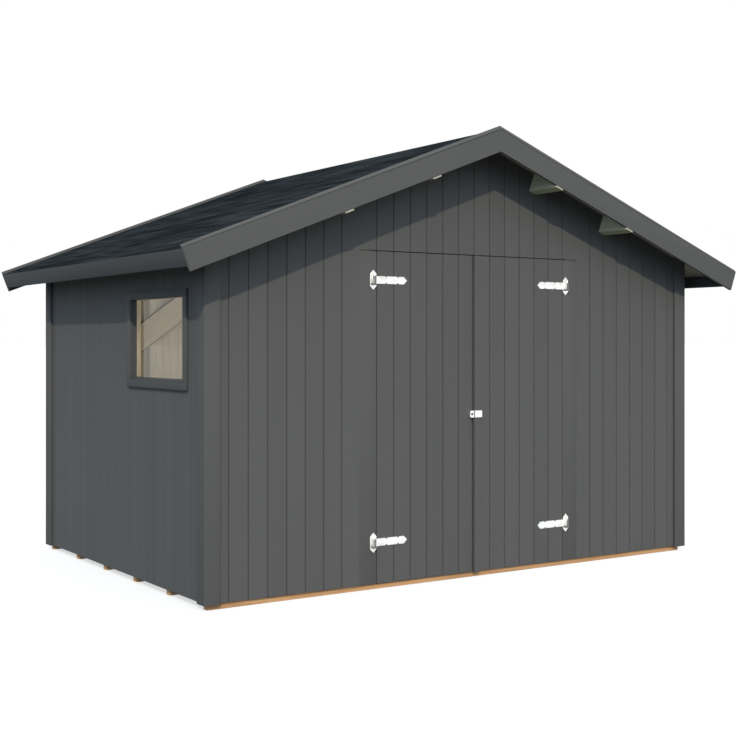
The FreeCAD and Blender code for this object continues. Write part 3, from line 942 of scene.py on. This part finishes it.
def light_path_any(nodes, links, names):
    """Socket that is 1 for a ray of any of the named kinds."""
    path = nodes.new("ShaderNodeLightPath")
    total = path.outputs[names[0]]
    for name in names[1:]:
        either = nodes.new("ShaderNodeMath")
        either.operation = "MAXIMUM"
        links.new(total, either.inputs[0])
        links.new(path.outputs[name], either.inputs[1])
        total = either.outputs[0]
    return total


def white_floor():
    """Pale floor: the camera sees it white with the shed's shadow, and it lights the shed less."""
    half = FLOOR_SIZE
    corners = [(-half, -half, 0), (half, -half, 0), (half, half, 0), (-half, half, 0)]
    floor = mesh_object("floor", corners, [(0, 1, 2, 3)])
    material = bpy.data.materials.new("floor_pale")
    material.use_nodes = True
    tree = material.node_tree
    tree.nodes.clear()
    output = tree.nodes.new("ShaderNodeOutputMaterial")
    seen = tree.nodes.new("ShaderNodeBsdfDiffuse")
    seen.inputs["Color"].default_value = (FLOOR_SEEN, FLOOR_SEEN, FLOOR_SEEN, 1.0)
    glow = tree.nodes.new("ShaderNodeEmission")
    glow.inputs["Strength"].default_value = FLOOR_GLOW
    both = tree.nodes.new("ShaderNodeAddShader")
    tree.links.new(seen.outputs[0], both.inputs[0])
    tree.links.new(glow.outputs[0], both.inputs[1])
    dull = tree.nodes.new("ShaderNodeBsdfDiffuse")
    dull.inputs["Color"].default_value = (FLOOR_BOUNCE, FLOOR_BOUNCE, FLOOR_BOUNCE, 1.0)
    mix = tree.nodes.new("ShaderNodeMixShader")
    tree.links.new(light_path_any(tree.nodes, tree.links, SEEN_RAYS), mix.inputs[0])
    tree.links.new(dull.outputs[0], mix.inputs[1])
    tree.links.new(both.outputs[0], mix.inputs[2])
    tree.links.new(mix.outputs[0], output.inputs["Surface"])
    floor.data.materials.append(material)


def white_world():
    """Sky that is seen as white and lights the shed with three tints, more from the front."""
    world = bpy.data.worlds.new("sky")
    bpy.context.scene.world = world
    world.use_nodes = True
    tree = world.node_tree
    tree.nodes.clear()
    output = tree.nodes.new("ShaderNodeOutputWorld")
    seen = tree.nodes.new("ShaderNodeBackground")
    seen.inputs["Color"].default_value = (1.0, 1.0, 1.0, 1.0)
    sky = tree.nodes.new("ShaderNodeBackground")
    upward = tree.nodes.new("ShaderNodeSeparateXYZ")
    direction = tree.nodes.new("ShaderNodeTexCoord")
    tree.links.new(direction.outputs["Generated"], upward.inputs[0])
    rise = tree.nodes.new("ShaderNodeMix")
    rise.data_type = "RGBA"
    across = tree.nodes.new("ShaderNodeMapRange")
    across.inputs["From Min"].default_value = -1.0
    tree.links.new(upward.outputs["X"], across.inputs["Value"])
    level = tree.nodes.new("ShaderNodeMix")
    level.data_type = "RGBA"
    level.inputs["A"].default_value = (*SKY_LEFT, 1.0)
    level.inputs["B"].default_value = (*SKY_RIGHT, 1.0)
    tree.links.new(across.outputs["Result"], level.inputs["Factor"])
    tree.links.new(level.outputs["Result"], rise.inputs["A"])
    rise.inputs["B"].default_value = (*SKY_TOP, 1.0)
    tree.links.new(upward.outputs["Z"], rise.inputs["Factor"])
    tree.links.new(rise.outputs["Result"], sky.inputs["Color"])
    depth = tree.nodes.new("ShaderNodeMapRange")
    depth.inputs["From Min"].default_value = -1.0
    depth.inputs["To Min"].default_value = SKY_FRONT_STRENGTH
    depth.inputs["To Max"].default_value = SKY_BACK_STRENGTH
    tree.links.new(upward.outputs["Y"], depth.inputs["Value"])
    tree.links.new(depth.outputs["Result"], sky.inputs["Strength"])
    mix = tree.nodes.new("ShaderNodeMixShader")
    tree.links.new(light_path_any(tree.nodes, tree.links, SEEN_RAYS), mix.inputs[0])
    tree.links.new(sky.outputs[0], mix.inputs[1])
    tree.links.new(seen.outputs[0], mix.inputs[2])
    tree.links.new(mix.outputs[0], output.inputs["Surface"])


def sun():
    lamp = bpy.data.lights.new("sun", "SUN")
    lamp.energy = SUN_STRENGTH
    lamp.color = SUN_COLOUR
    lamp.angle = math.radians(SUN_ANGLE)
    thing = new_object("sun", lamp)
    thing.rotation_euler = Vector(SUN_TRAVEL).to_track_quat("-Z", "Y").to_euler()


def room_lamps():
    """Weak lights under the roof, so that the room shows through the pane and the open doors."""
    for index, (place, power, size) in enumerate(ROOM_LAMPS):
        lamp = bpy.data.lights.new(f"room_lamp_{index + 1}", "AREA")
        lamp.energy = power
        lamp.color = ROOM_LAMP_COLOUR
        lamp.size = size
        thing = new_object(f"room_lamp_{index + 1}", lamp)
        thing.location = place


def camera():
    lens = bpy.data.cameras.new("camera")
    lens.sensor_width = SENSOR
    lens.lens = FOCAL_PIXELS * SENSOR / PICTURE
    lens.shift_y = (HORIZON_PIXEL - PICTURE / 2) / PICTURE
    thing = new_object("camera", lens)
    thing.location = CAMERA_PLACE
    thing.rotation_euler = (math.radians(90), 0, math.radians(CAMERA_TURN))
    bpy.context.scene.camera = thing


white_floor()
white_world()
sun()
room_lamps()
camera()
bpy.context.scene.view_settings.view_transform = "Standard"
